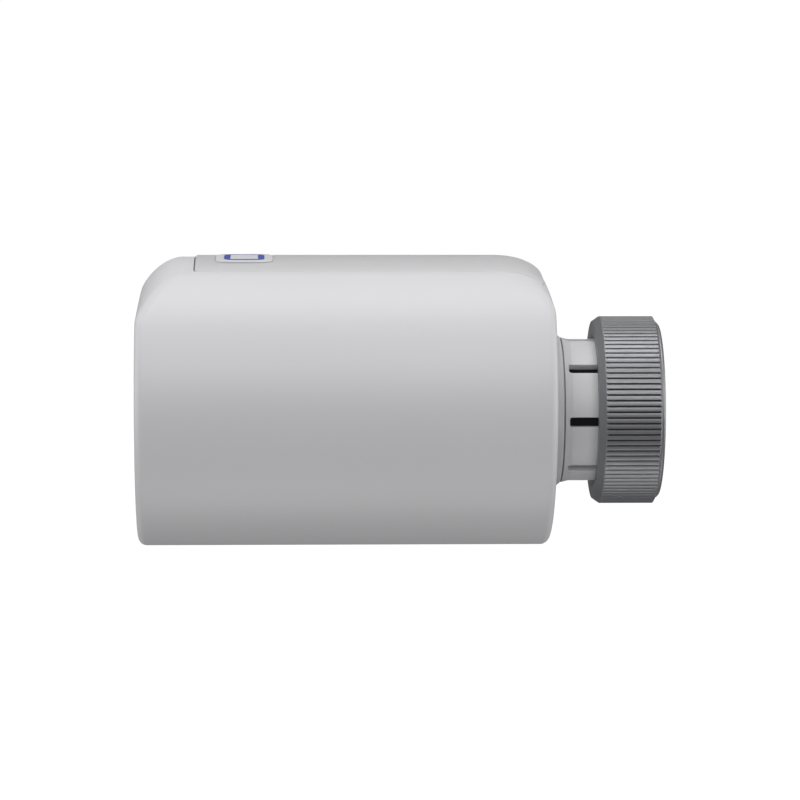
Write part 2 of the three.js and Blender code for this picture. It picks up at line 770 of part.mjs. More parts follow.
// The strip that joins both cells behind the battery cover.
function makeBridgeContact() {
  const { thickness, halfWidth, halfHeight } = bridge;
  const x = body.left + cover.plate + GAP;
  return box([x, x + thickness], [-halfWidth, halfWidth], [cell.z - halfHeight, cell.z + halfHeight]);
}

// A [low, high] span of y on the given side of the middle plane.
function onSide(side, near, far) {
  return side < 0 ? [-far, -near] : [near, far];
}

const contactX = [chassis.back - GAP - contact.thickness, chassis.back - GAP];

// The part of a terminal that climbs to the board, widened by a margin to cut its slot.
function contactTail(side, margin) {
  const [near, far] = contact.tail;
  return box(
    [contactX[0] - margin, contactX[1] + margin],
    onSide(side, near - margin, far + margin),
    [cell.z, board.z[0] - GAP],
  );
}

// A flat terminal behind one cell, with a tail up to the board.
function makeContactPlate(side) {
  const { inner, outer, halfHeight } = contact;
  const plate = box(contactX, onSide(side, inner, outer), [cell.z - halfHeight, cell.z + halfHeight]);
  return plate.add(contactTail(side, 0));
}

class Coil extends THREE.Curve {
  constructor(side, left, right) {
    super();
    Object.assign(this, { side, left, right });
  }
  getPoint(t, target = new THREE.Vector3()) {
    const angle = 2 * Math.PI * spring.turns * t;
    const radius = spring.tipRadius + spring.growth * t;
    return target.set(
      this.left + (this.right - this.left) * t,
      this.side * cell.y + radius * Math.cos(angle),
      cell.z + radius * Math.sin(angle),
    );
  }
}

// A conical coil pressed between a cell and its terminal.
function makeContactSpring(side) {
  const wire = new THREE.Shape();
  wire.absarc(0, 0, spring.wireRadius, 0, 2 * Math.PI);
  const left = cell.left + cell.length + spring.wireRadius + 0.2;
  const right = contactX[0] - spring.wireRadius - 0.2;
  const extrudePath = new Coil(side, left, right);
  return solid(
    new THREE.ExtrudeGeometry(wire, { steps: 28, curveSegments: 3, extrudePath }),
  );
}

// ---------------------------------------------------------------- board and controls

function makeBoard() {
  const { left, right, halfWidth, z } = board;
  let made = box([left, right], [-halfWidth, halfWidth], z);
  for (const centre of boardPosts) {
    made = made.subtract(post(centre, [z[0] - 1, z[1] + 1], boardScrew.radius + FIT));
  }
  return made;
}

function makeButtonCap() {
  const { x, proud, crown, bottom } = button;
  const { grow, height, skin, peg, shoulder } = buttonRim;
  const top = body.topZ + proud;
  return buttonOutline(0, [bottom, top - crown])
    .add(buttonOutline(-shoulder, [bottom, top]))
    .hull()
    .add(buttonOutline(grow / 2, [bottom, bottom + height]))
    .subtract(buttonOutline(-skin, [bottom - 1, top - crown - skin]))
    .add(post([x, 0], [bottom + GAP, top - skin], peg))
    .subtract(lightRingSolid(0.1));
}

// The blue ring inlaid in the button's face; clearance widens it into the groove it sits in.
function lightRingSolid(clearance) {
  const { length, width, line, depth, corner } = lightRing;
  const top = body.topZ + button.proud;
  const outer = roundedRectangle(
    length + 2 * clearance,
    width + 2 * clearance,
    corner + clearance,
    button.x,
  );
  const hole = 2 * (line + clearance);
  const innerCorner = Math.max(0.2, corner - line - clearance);
  const inner = roundedRectangle(length - hole, width - hole, innerCorner, button.x);
  const span = [top - depth - clearance, top + clearance];
  return alongZ(outer, span).subtract(alongZ(inner, [span[0] - 1, span[1] + 1]));
}

function makeSwitchBody() {
  const { x } = button;
  const { half, height, wellFloor, wellRadius } = switchBody;
  const z = board.z[1] + GAP;
  const well = post([x, 0], [z + wellFloor, z + height + 1], wellRadius);
  return box([x - half, x + half], [-half, half], [z, z + height]).subtract(well);
}

function makeSwitchStem() {
  return post([button.x, 0], [board.z[1] + stem.foot, button.bottom], stem.radius);
}

// The black light box between the display module and the panel.
function makeLightMask() {
  const { margin, wall, floor, cells } = lightMask;
  const z = [board.z[1] + 1.2, body.topZ - body.wall - 2 * GAP];
  const [x0, x1] = [displayWindow.x[0] - margin, displayWindow.x[1] + margin];
  const half = displayWindow.halfWidth + margin;
  const within = [wall - half, half - wall];
  let made = box([x0, x1], [-half, half], z);
  const pitch = (x1 - x0 - wall) / cells;
  for (let i = 0; i < cells; i++) {
    const start = x0 + wall + i * pitch;
    made = made.subtract(box([start, start + pitch - wall], within, [z[0] + floor, z[1] + 1]));
  }
  return made.subtract(box([x0 + wall, x1 - wall], within, [z[0] - 1, z[0] + floor + 0.1]));
}

function makeDisplayModule() {
  const [x0, x1] = [displayWindow.x[0] - 0.2, displayWindow.x[1] + 0.2];
  const half = displayWindow.halfWidth + 0.1;
  const z = board.z[1] + GAP;
  return box([x0, x1], [-half, half], [z, z + displayHeight]);
}

// A lead that leaves the motor's end bell and climbs to the connector; the lower one bends wider.
function makeMotorLead(height, reach) {
  const [y, z] = motorAxis;
  const start = motor.bellBack - GAP;
  const end = board.z[0] - connector.height - 2 * GAP;
  const path = new THREE.CatmullRomCurve3([
    new THREE.Vector3(start, y, z + height),
    new THREE.Vector3(start - 0.5 * reach, y, z + height),
    new THREE.Vector3(start - 0.86 * reach, y - 3, z + height + 0.8),
    new THREE.Vector3(start - reach, y - 6, (z + height + end) / 2),
    new THREE.Vector3(start - reach, y - 6.8, end),
  ]);
  const wire = new THREE.Shape();
  wire.absarc(0, 0, leadRadius, 0, 2 * Math.PI);
  return solid(
    new THREE.ExtrudeGeometry(wire, { steps: 12, curveSegments: 3, extrudePath: path }),
  );
}

function makeConnector() {
  const top = board.z[0] - GAP;
  return box(connector.x, connector.y, [top - connector.height, top]);
}

// ---------------------------------------------------------------- screws

// A slotted pan-head screw along X, from its head's outer face at headX to its tip.
function makeScrewAlongX(centre, headX, { head: [headRadius, headLength], tip, radius }) {
  const direction = Math.sign(tip - headX);
  const under = headX + direction * headLength;
  const made = turned(
    [
      [headX, 0],
      [headX, headRadius * 0.8],
      [headX + direction * 0.35, headRadius],
      [under, headRadius],
      [under, radius],
      [tip, radius],
      [tip, 0],
    ],
    SMALL_ROUND,
    centre,
  );
  const [y, z] = centre;
  const half = headRadius * 0.6;
  return made.subtract(box([headX - 0.5, headX + 0.5], [y - half, y + half], [z - 0.25, z + 0.25]));
}

function makeBoardScrew([x, y]) {
  const { radius, headRadius, headHeight, reach } = boardScrew;
  const under = board.z[1] + GAP;
  const head = post([x, y], [under, under + headHeight], headRadius);
  const slot = box([x - 1.1, x + 1.1], [y - 0.25, y + 0.25], [under + 0.6, under + 2]);
  return head.add(post([x, y], [board.z[0] - reach, under + 0.2], radius)).subtract(slot);
}

// ---------------------------------------------------------------- materials and assembly

function finish(color, roughness, metalness = 0) {
  return new THREE.MeshStandardMaterial({ color, roughness, metalness });
}

const finishes = {
  whitePlastic: finish(0xe6e6e8, 0.42),
  panelPlastic: finish(0xcfcfd1, 0.36),
  neckPlastic: finish(0xc4c5c7, 0.5),
  blackPlastic: finish(0x1c1c1e, 0.55),
  greyPlastic: finish(0x8c9096, 0.6),
  gearPlastic: finish(0xe9e4d4, 0.5),
  blueLight: finish(0x5b6fc4, 0.35),
  nickel: finish(0x9c9da2, 0.34, 1),
  steel: finish(0xb4b6ba, 0.3, 1),
  brass: finish(0xc2a25a, 0.35, 1),
  board: finish(0x1f5a3c, 0.5),
  cellSleeve: finish(0x2c5f9e, 0.4),
  redWire: finish(0xa83232, 0.5),
};

const actuatorHead = new THREE.Group();

function addMesh(name, made, material) {
  const { vertProperties, triVerts } = made.getMesh();
  const geometry = new THREE.BufferGeometry();
  geometry.setAttribute("position", new THREE.BufferAttribute(vertProperties, 3));
  geometry.setIndex(new THREE.BufferAttribute(triVerts, 1));
  geometry.computeVertexNormals();
  const mesh = new THREE.Mesh(geometry, material);
  mesh.name = name;
  actuatorHead.add(mesh);
}

const { whitePlastic, panelPlastic, neckPlastic, blackPlastic, greyPlastic } = finishes;
const { gearPlastic, blueLight, nickel, steel, brass, cellSleeve, redWire } = finishes;

addMesh("housing_shell", makeHousingShell(), whitePlastic);
addMesh("display_panel", makeDisplayPanel(), panelPlastic);
addMesh("battery_cover", makeBatteryCover(), whitePlastic);
addMesh("end_cap", makeEndCap(), whitePlastic);
addMesh("valve_collar", makeCollar(), neckPlastic);
addMesh("union_nut", makeUnionNut(), nickel);

addMesh("button_cap", makeButtonCap(), whitePlastic);
addMesh("button_light_ring", lightRingSolid(0), blueLight);
addMesh("button_switch", makeSwitchBody(), blackPlastic);
addMesh("switch_stem", makeSwitchStem(), blackPlastic);

addMesh("main_board", makeBoard(), finishes.board);
addMesh("display_module", makeDisplayModule(), blackPlastic);
addMesh("light_mask", makeLightMask(), blackPlastic);
const boardUnder = board.z[0] - GAP;
const boardOver = board.z[1] + GAP;
const ledBox = box(led.x, [-led.halfWidth, led.halfWidth], [boardOver, boardOver + led.height]);
const shieldBox = box(
  radioShield.x,
  [-radioShield.halfWidth, radioShield.halfWidth],
  [boardUnder - radioShield.height, boardUnder],
);
const capacitorAxis = [capacitor.y, boardUnder - capacitor.radius - FIT];
addMesh("ring_led", ledBox, blueLight);
addMesh("radio_shield", shieldBox, steel);
addMesh("buffer_capacitor", rod(capacitor.x, capacitor.radius, capacitorAxis, 20), greyPlastic);
addMesh("motor_connector", makeConnector(), neckPlastic);
addMesh("temperature_sensor", post(sensor.at, sensor.z, sensor.radius), blackPlastic);

addMesh("chassis", makeChassis(), greyPlastic);
addMesh("battery_cell_front", makeCell(-1), cellSleeve);
addMesh("battery_cell_rear", makeCell(1), cellSleeve);
addMesh("bridge_contact", makeBridgeContact(), steel);
addMesh("contact_plate_front", makeContactPlate(-1), steel);
addMesh("contact_plate_rear", makeContactPlate(1), steel);
addMesh("contact_spring_front", makeContactSpring(-1), steel);
addMesh("contact_spring_rear", makeContactSpring(1), steel);

addMesh("motor_can", makeMotorCan(), steel);
addMesh("motor_end_bell", makeMotorEndBell(), blackPlastic);
addMesh("motor_shaft", makeMotorShaft(), steel);
addMesh("motor_pinion", makeMotorPinion(), brass);
addMesh("motor_lead_red", makeMotorLead(1.4, 4.2), redWire);
addMesh("motor_lead_black", makeMotorLead(-1.4, 6.4), blackPlastic);

addMesh("gearbox_frame", makeGearboxFrame(), greyPlastic);
addMesh("gearbox_cover", makeGearboxCover(), greyPlastic);
addMesh("first_axle_pin", makeAxlePin(firstAxis), steel);
addMesh("second_axle_pin", makeAxlePin(secondAxis), steel);
const firstGear = makeCompoundGear(
  firstAxis,
  gearLayer.firstWheel,
  gearLayer.firstPinion,
  firstPinionPhase,
);
const secondGear = makeCompoundGear(
  secondAxis,
  gearLayer.secondWheel,
  gearLayer.secondPinion,
  secondPinionPhase,
);
addMesh("first_gear", firstGear, gearPlastic);
addMesh("second_gear", secondGear, gearPlastic);
addMesh("output_gear", makeOutputGear(), gearPlastic);
const washer = tube(thrustWasher.x, thrustWasher.radius, screw.radius + GAP);
addMesh("thrust_washer", washer, steel);
addMesh("drive_screw", makeDriveScrew(), steel);
addMesh("plunger", makePlunger(), blackPlastic);

boardPosts.forEach((centre, i) => {
  addMesh(`board_screw_${i + 1}`, makeBoardScrew(centre), steel);
});
gearboxPosts.forEach((centre, i) => {
  const headX = gearbox.front + GAP + gearboxScrew.head[1];
  const made = makeScrewAlongX(centre, headX, gearboxScrew);
  addMesh(`gearbox_screw_${i + 1}`, made, steel);
});
collarScrewCentres().forEach((centre, i) => {
  const made = makeScrewAlongX(centre, collarScrew.headX, collarScrew);
  addMesh(`collar_screw_${i + 1}`, made, steel);
});

export default actuatorHead;
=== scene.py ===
"""Looks of a motorised radiator-valve head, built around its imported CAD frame.

Sizes are in millimetres in this file and in metres in Blender. +X is the valve axis, +Z is up
through the display strip, and the origin is the centre of the union nut's open end.
"""

import json
import math

import bmesh
import bpy
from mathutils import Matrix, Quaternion, Vector


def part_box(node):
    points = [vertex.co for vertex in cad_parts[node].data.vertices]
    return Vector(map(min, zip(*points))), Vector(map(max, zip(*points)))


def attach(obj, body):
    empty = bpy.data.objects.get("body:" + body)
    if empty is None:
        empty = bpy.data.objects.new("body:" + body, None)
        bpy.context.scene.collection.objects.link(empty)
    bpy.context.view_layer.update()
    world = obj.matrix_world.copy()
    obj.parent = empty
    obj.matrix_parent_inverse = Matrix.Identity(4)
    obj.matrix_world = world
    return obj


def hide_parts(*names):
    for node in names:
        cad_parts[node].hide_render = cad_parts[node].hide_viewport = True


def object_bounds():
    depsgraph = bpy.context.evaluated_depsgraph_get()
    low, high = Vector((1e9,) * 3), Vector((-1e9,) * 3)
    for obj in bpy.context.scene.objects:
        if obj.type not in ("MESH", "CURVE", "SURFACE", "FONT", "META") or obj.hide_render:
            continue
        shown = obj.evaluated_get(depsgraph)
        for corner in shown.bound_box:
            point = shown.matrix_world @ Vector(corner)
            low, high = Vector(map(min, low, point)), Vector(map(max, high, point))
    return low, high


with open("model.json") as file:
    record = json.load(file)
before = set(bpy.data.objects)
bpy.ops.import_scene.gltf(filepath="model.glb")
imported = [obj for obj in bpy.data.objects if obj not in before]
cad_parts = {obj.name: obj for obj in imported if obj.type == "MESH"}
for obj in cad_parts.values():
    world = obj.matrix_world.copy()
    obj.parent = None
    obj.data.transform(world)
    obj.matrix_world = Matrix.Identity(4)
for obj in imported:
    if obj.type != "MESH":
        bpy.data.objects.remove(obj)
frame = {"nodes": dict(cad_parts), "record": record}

CAD_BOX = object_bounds()
MM = 0.001
GAP = 0.3  # between pieces that don't touch

# ---------------------------------------------------------------- sizes, from the frame


def extent(node):
    """Lowest and highest corner of a CAD node, in millimetres."""
    low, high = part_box(node)
    return low / MM, high / MM


shell_low, shell_high = extent("housing_shell")
nut_low, nut_high = extent("union_nut")
panel_low, panel_high = extent("display_panel")
cap_low, cap_high = extent("button_cap")
_, ring_high = extent("button_light_ring")
collar_low, collar_high = extent("valve_collar")
_, cover_high = extent("battery_cover")
_, end_high = extent("end_cap")
plunger_low, plunger_high = extent("plunger")

BODY_RADIUS = 27.9
CENTRE_Z = shell_low.z + BODY_RADIUS
LEFT, RIGHT = shell_low.x, shell_high.x
CROWN_RADIUS = 60  # the body's top is gently crowned from side to side
STRIP_PROUD = 0.35
TOP_Z = panel_high.z - STRIP_PROUD  # along the middle
WALL = 2.2
FILLET = 1.6  # round the shell's two ends
CAVITY_RADIUS = BODY_RADIUS - WALL
PLATE_RADIUS = CAVITY_RADIUS - GAP
# length, height and exponent of the superellipse that rounds each top corner; the right one is
# longer and gentler than the CAD's
LEFT_CORNER = (8.2, 9.15, 1.7)
RIGHT_CORNER = (11.0, 8.0, 2.4)

# ---------------------------------------------------------------- mesh helpers


MERGE_DISTANCE, SHORTEST_EDGE = 1e-6, 1e-7  # metres


def new_object(name, points, faces, smooth_angle=32):
    """A mesh object from points in millimetres, with edges sharper than the angle left sharp."""
    mesh = bpy.data.meshes.new(name)
    mesh.from_pydata([Vector(p) * MM for p in points], [], faces)
    built = bmesh.new()
    built.from_mesh(mesh)
    bmesh.ops.remove_doubles(built, verts=built.verts, dist=MERGE_DISTANCE)
    bmesh.ops.dissolve_degenerate(built, edges=built.edges, dist=SHORTEST_EDGE)
    bmesh.ops.recalc_face_normals(built, faces=built.faces)
    built.to_mesh(mesh)
    built.free()
    made = bpy.data.objects.new(name, mesh)
    bpy.context.scene.collection.objects.link(made)
    smooth(made, smooth_angle)
    return made


def smooth(made, angle=32):
    """Smooth shading, except across edges sharper than the angle."""
    made.data.shade_smooth()
    made.data.set_sharp_from_angle(angle=math.radians(angle))


def sheet_faces(rows, columns, wrap_rows=False, wrap_columns=False):
    """Quads that join a grid of points given row by row."""
    faces = []
    for r in range(rows if wrap_rows else rows - 1):
        for c in range(columns if wrap_columns else columns - 1):
            here, below = r * columns, (r + 1) % rows * columns
            c1 = (c + 1) % columns
            faces.append((here + c, here + c1, below + c1, below + c))
    return faces


def loft(name, loops, closed=False, smooth_angle=32):
    """A solid through closed loops of equal length, its ends capped or joined to each other."""
    count = len(loops[0])
    faces = sheet_faces(len(loops), count, wrap_rows=closed, wrap_columns=True)
    if not closed:
        faces.append(tuple(range(count)))
        last = (len(loops) - 1) * count
        faces.append(tuple(last + i for i in reversed(range(count))))
    return new_object(name, [p for loop in loops for p in loop], faces, smooth_angle)


def rounded(corners, closed=False, steps=5):
    """A polyline through (a, b, radius) corners, each rounded by a curve.

    The curve is a parabola between the points where an arc of the radius would touch, or nearer
    where a side is too short for that.
    """
    made = []
    count = len(corners)
    for i, (a, b, radius) in enumerate(corners):
        here = Vector((a, b))
        if radius == 0 or (not closed and i in (0, count - 1)):
            made.append((a, b))
            continue
        before = Vector(corners[i - 1][:2]) - here
        after = Vector(corners[(i + 1) % count][:2]) - here
        half = before.angle(after) / 2
        reach = min(radius / math.tan(half), 0.49 * before.length, 0.49 * after.length)
        start, end = here + before.normalized() * reach, here + after.normalized() * reach
        for k in range(steps + 1):
            t = k / steps
            point = (1 - t) ** 2 * start + 2 * t * (1 - t) * here + t**2 * end
            made.append((point.x, point.y))
    return made


def lathe(name, profile, segments=160, axis=(0, 0), closed=True):
    """A solid of revolution about an axis along X; the profile is (x, radius) points."""
    loops = [ring(x, radius, segments, *axis) for x, radius in profile]
    return loft(name, loops, closed)


def ring(x, radius, segments, y0, z0):
    """Points on a circle that faces along X."""
    turns = [2 * math.pi * i / segments for i in range(segments)]
    return [(x, y0 + radius * math.cos(t), z0 + radius * math.sin(t)) for t in turns]


def rounded_loop(x, half_length, half_width, corner, z, steps=12):
    """A level rounded rectangle; with the corner at the half width it is a pill."""
    corner = max(corner, 0.01)
    a, b = half_length - corner, half_width - corner
    made = []
    for quarter, (sx, sy) in enumerate([(1, 1), (-1, 1), (-1, -1), (1, -1)]):
        for k in range(steps + 1):
            turn = math.pi / 2 * (quarter + k / steps)
            point = (x + sx * a + corner * math.cos(turn), sy * b + corner * math.sin(turn), z)
            made.append(point)
    return made


def box_solid(name, low, high):
    """A box between its lowest and highest corners."""
    (x0, y0, z0), (x1, y1, z1) = low, high
    loops = [[(x, y0, z0), (x, y1, z0), (x, y1, z1), (x, y0, z1)] for x in (x0, x1)]
    return loft(name, loops)


def apply_modifiers(made):
    """Puts the mesh that the modifiers give in place of the object's own."""
    graph = bpy.context.evaluated_depsgraph_get()
    mesh = bpy.data.meshes.new_from_object(made.evaluated_get(graph))
    old = made.data
    made.modifiers.clear()
    made.data = mesh
    bpy.data.meshes.remove(old)


def combine(made, others, operation="DIFFERENCE"):
    """Cuts or joins other solids, which are used up."""
    for other in others:
        modifier = made.modifiers.new("combine", "BOOLEAN")
        modifier.operation = operation
        modifier.solver = "EXACT"
        modifier.object = other
        apply_modifiers(made)
        bpy.data.objects.remove(other)
    return made


SOFTENED_FROM = 35  # degrees; gentler edges aren't rounded


def soften(made, width, segments=2):
    """Small rounds on the sharp edges, as a mould or a tool leaves them."""
    modifier = made.modifiers.new("soften", "BEVEL")
    modifier.width = width * MM
    modifier.segments = segments
    modifier.limit_method = "ANGLE"
    modifier.angle_limit = math.radians(SOFTENED_FROM)
    apply_modifiers(made)
    smooth(made)
    return made


def place(made, node, body, material):
    """The piece stands for a CAD node, moves with its body and takes its slot's finish."""
    made.data.materials.clear()
    made.data.materials.append(material)
    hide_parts(node)
    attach(made, body)
    return made


# ---------------------------------------------------------------- the body's shape


def corner_point(side, turn, inset):
    """(x, z, rise) of a top corner in the middle plane.

    The turn goes from 0 at the end face to a right angle at the top. The rise is the share of the
    corner's height.
    """
    length, height, power = LEFT_CORNER if side < 0 else RIGHT_CORNER
    face = LEFT if side < 0 else RIGHT
    rise = math.sin(turn) ** (2 / power)
    x = face - side * length + side * (length - inset) * max(0, math.cos(turn)) ** (2 / power)
    return x, TOP_Z - height + (height - inset) * rise, rise


def crown_drop(y, rise):
    """How far the crown lies below its middle at y."""
    return rise * y**2 / (2 * CROWN_RADIUS)


def crown_edge(top, rise, radius):
    """The y where a crown of the given top meets a circle about the body's centre line."""
    bend = rise / (2 * CROWN_RADIUS)
    b = 1 + 2 * bend * CENTRE_Z
    c = top - bend * (radius**2 - CENTRE_Z**2)
    z = 2 * c / (b + math.sqrt(b**2 - 4 * bend * c))
    return math.sqrt(max(0, radius**2 - (z - CENTRE_Z) ** 2))


def rim_points(side, inset, fillet, tilt, arc_steps=40, corner_steps=30):
    """The rim of one end, from its foot up and round the corner to the top.

    Each point is (x, top, rise, half): at any y up to half, its height is
    top - crown_drop(y, rise). The tilt goes from 0 on the side wall to a right angle on the ends
    and the top.
    """
    loss, depth = 1 - math.cos(tilt), 1 - math.sin(tilt)
    radius = BODY_RADIUS - inset - fillet * loss
    face, corner_z, _ = corner_point(side, 0, inset + fillet * depth)
    corner_angle = math.asin((corner_z - CENTRE_Z) / radius)
    made = []
    for k in range(arc_steps):
        angle = -math.pi / 2 + (corner_angle + math.pi / 2) * k / arc_steps
        made.append((face, CENTRE_Z + radius * math.sin(angle), 0, radius * math.cos(angle)))
    for k in range(corner_steps + 1):
        turn = math.pi / 2 * k / corner_steps
        edge = fillet * math.cos(turn)
        x, top, rise = corner_point(side, turn, inset + edge * depth)
        made.append((x, top, rise, crown_edge(top, rise, BODY_RADIUS - inset - edge * loss)))
    return made


def across_body(rim_point, share):
    """The point at a share of the half width, from -1 to 1, level with a rim point."""
    x, top, rise, half = rim_point
    return Vector((x, share * half, top - crown_drop(share * half, rise)))


def body_solid(name, inset=0, fillet=0, fillet_steps=8, length_steps=36):
    """The cylinder closed by its side profile.

    The fillet rounds its ends and fades out on the top.
    """
    points, faces = [], []
    lengthwise = [k / length_steps for k in range(length_steps + 1)]

    def add_sheet(rows):
        start = len(points)
        points.extend(p for row in rows for p in row)
        for face in sheet_faces(len(rows), len(rows[0])):
            faces.append(tuple(start + i for i in face))

    def whole_rim(tilt):
        left, right = (rim_points(side, inset, fillet, tilt) for side in (-1, 1))
        (x0, *section), x1 = left[-1], right[-1][0]
        level = [(x0 + (x1 - x0) * s, *section) for s in lengthwise[1:-1]]
        return left + level + right[::-1]

    tilts = [math.pi / 2]
    if fillet:
        tilts = [math.pi / 2 * k / fillet_steps for k in range(fillet_steps + 1)]
    rims = [whole_rim(tilt) for tilt in tilts]
    radius = BODY_RADIUS - inset
    for side in (1, -1):
        if fillet:
            add_sheet([[across_body(p, side) for p in rim] for rim in rims])
        ends = [rim_points(end, inset, fillet, tilts[0]) for end in (-1, 1)]
        wall = []
        for pair in zip(*ends):
            (x0, angle0), (x1, angle1) = (wall_place(across_body(p, side), side) for p in pair)
            row = []
            for s in lengthwise:
                angle = angle0 + (angle1 - angle0) * s
                y, z = side * radius * math.cos(angle), CENTRE_Z + radius * math.sin(angle)
                row.append((x0 + (x1 - x0) * s, y, z))
            wall.append(row)
        add_sheet(wall)
    # closely spaced next to the crease between the side and the top, which is nearly sharp
    shares = [1, 0.975, *(0.9 - 0.1 * k for k in range(19)), -0.975, -1]
    add_sheet([[across_body(p, share) for share in shares] for p in rims[-1]])
    return new_object(name, points, faces, smooth_angle=40)


def wall_place(point, side):
    """(x, angle) of a point on the side wall, the angle about the body's centre line."""
    return point.x, math.atan2(point.z - CENTRE_Z, side * point.y)


def end_outline(radius, top, steps=120):
    """(y, z) points of a circle about the body's centre line with its top cut off level."""
    angle = math.asin((top - CENTRE_Z) / radius)
    sweep = math.pi + 2 * angle
    made = []
    for k in range(steps + 1):
        turn = angle - sweep * k / steps
        made.append((radius * math.cos(turn), CENTRE_Z + radius * math.sin(turn)))
    return made


def end_plate(name, x0, x1, radius, top):
    """A disc about the body's centre line, its top cut off level."""
    outline = end_outline(radius, top)
    return loft(name, [[(x, y, z) for y, z in outline] for x in (x0, x1)])


def strip_solid(name, left, right, upper, lower, half_width, edge, slope, corner):
    """A strip bent along the body's top, its corners rounded in plan.

    Its long top edges fall by edge over a width of slope.
    """
    path = strip_path(left, right, upper, lower)
    done = [0]
    for (_, before), (_, here) in zip(path, path[1:]):
        done.append(done[-1] + (here - before).length)
    loops = []
    for (low, high), run in zip(path, done):
        from_end = min(run, done[-1] - run)
        width = half_width - rounding_loss(from_end, corner)
        drop = rounding_loss(from_end, edge)
        loops.append(strip_section(low, high, width, edge, slope, drop))
    return loft(name, loops, smooth_angle=50)


def rounding_loss(distance, radius):
    """How far a rounded corner falls short of a square one, at a distance from its end."""
    return radius - math.sqrt(max(0, radius**2 - max(0, radius - distance) ** 2))


def strip_path(left, right, upper, lower, level_steps=24, steps=60):
    """(low, high) points along the strip: level, then down over the body's right corner."""
    length, _, power = RIGHT_CORNER
    straight_end = RIGHT - length
    near_end = [0, 0.01, 0.04, 0.09, 0.16, 0.25, 0.35, 0.5, 0.7, 1.0]
    level = [left + d for d in near_end]
    rest = straight_end - level[-1]
    level += [level[-1] + rest * k / level_steps for k in range(1, level_steps + 1)]
    path = [(Vector((x, TOP_Z - lower)), Vector((x, TOP_Z - upper))) for x in level]
    reach = min(1, (right - straight_end) / (length - upper))
    end_turn = math.acos(reach ** (power / 2))
    for k in range(1, steps + 1):
        turn = math.pi / 2 + (end_turn - math.pi / 2) * k / steps
        path.append((strip_point(turn, lower), strip_point(turn, upper)))
    return path


def strip_point(turn, inset):
    """(x, z) on the right top corner, as a vector."""
    x, z, _ = corner_point(1, turn, inset)
    return Vector((x, z))


def strip_section(low, high, half_width, edge, slope, drop, slope_power=1.6):
    """One crowned cross-section between a lower and an upper point, its top edges sloped."""
    across, slope_steps = 14, 6
    thickness = (high - low).length
    up = (high - low).normalized()
    shares = [k / slope_steps for k in range(slope_steps + 1)]
    flank = [(half_width - slope * s, thickness - edge * (1 - s) ** slope_power) for s in shares]
    inner = half_width - slope
    outline = [(-y, h) for y, h in flank]
    outline += [(inner * (2 * k / across - 1), thickness) for k in range(1, across)]
    outline += flank[::-1]
    outline += [(half_width * (1 - 2 * k / across), 0) for k in range(across + 1)]
    made = []
    for y, h in outline:
        x, z = low + up * max(0, min(h, thickness - drop))
        made.append((x, y, z - crown_drop(y, 1 + (z - TOP_Z) / RIGHT_CORNER[1])))
    return made


# ---------------------------------------------------------------- materials


class Nodes:
    """A node material under construction, with its Principled shader ready."""

    def __init__(self, name):
        self.material = bpy.data.materials.new(name)
        self.material.use_nodes = True
        self.tree = self.material.node_tree
        self.shader = self.tree.nodes["Principled BSDF"]
        self.coordinates = self.add("ShaderNodeTexCoord").outputs["Object"]

    def add(self, kind, **values):
        node = self.tree.nodes.new(kind)
        for key, value in values.items():
            setattr(node, key, value)
        return node

    def link(self, output, target):
        self.tree.links.new(output, target)

    def noise(self, size, detail=2.0, stretch=(1, 1, 1)):
        """Noise whose features are about the given size in millimetres."""
        mapping = self.add("ShaderNodeMapping")
        mapping.inputs["Scale"].default_value = stretch
        self.link(self.coordinates, mapping.inputs["Vector"])
        node = self.add("ShaderNodeTexNoise")
        node.inputs["Scale"].default_value = 1 / (size * MM)
        node.inputs["Detail"].default_value = detail
        self.link(mapping.outputs["Vector"], node.inputs["Vector"])
        return node.outputs["Fac"]

    def between(self, factor, low, high, target):
        """A number that follows the factor from low to high."""
        node = self.add("ShaderNodeMapRange")
        node.inputs["From Min"].default_value = 0.3
        node.inputs["From Max"].default_value = 0.7
        node.inputs["To Min"].default_value = low
        node.inputs["To Max"].default_value = high
        self.link(factor, node.inputs["Value"])
        self.link(node.outputs["Result"], target)

    def tint(self, factor, color, darker, lighter):
        """A base colour that wanders between a darker and a lighter tone."""
        node = self.add("ShaderNodeMix", data_type="RGBA")
        node.inputs["A"].default_value = (*shade(color, darker), 1)
        node.inputs["B"].default_value = (*shade(color, lighter), 1)
        self.link(factor, node.inputs["Factor"])
        self.link(node.outputs["Result"], self.shader.inputs["Base Color"])

    def bump(self, height, strength, depth):
        """Surface relief of the given depth in millimetres."""
        node = self.add("ShaderNodeBump")
        node.inputs["Strength"].default_value = strength
        node.inputs["Distance"].default_value = depth * MM
        self.link(height, node.inputs["Height"])
        self.link(node.outputs["Normal"], self.shader.inputs["Normal"])


def shade(color, factor):
    return tuple(c * factor for c in color)


def plastic(name, color, roughness, grain=0.18, depth=0.004, coat=0.0):
    """Moulded plastic: a fine spark-eroded grain, faint flow marks and uneven gloss."""
    nodes = Nodes(name)
    flow = nodes.noise(14, 1.0, (0.5, 1, 1))
    nodes.tint(flow, color, 0.985, 1.015)
    fine = nodes.noise(grain, 3.0)
    nodes.between(fine, roughness - 0.03, roughness + 0.04, nodes.shader.inputs["Roughness"])
    nodes.bump(fine, 0.35, depth)
    nodes.shader.inputs["IOR"].default_value = 1.47
    nodes.shader.inputs["Coat Weight"].default_value = coat
    return nodes.material


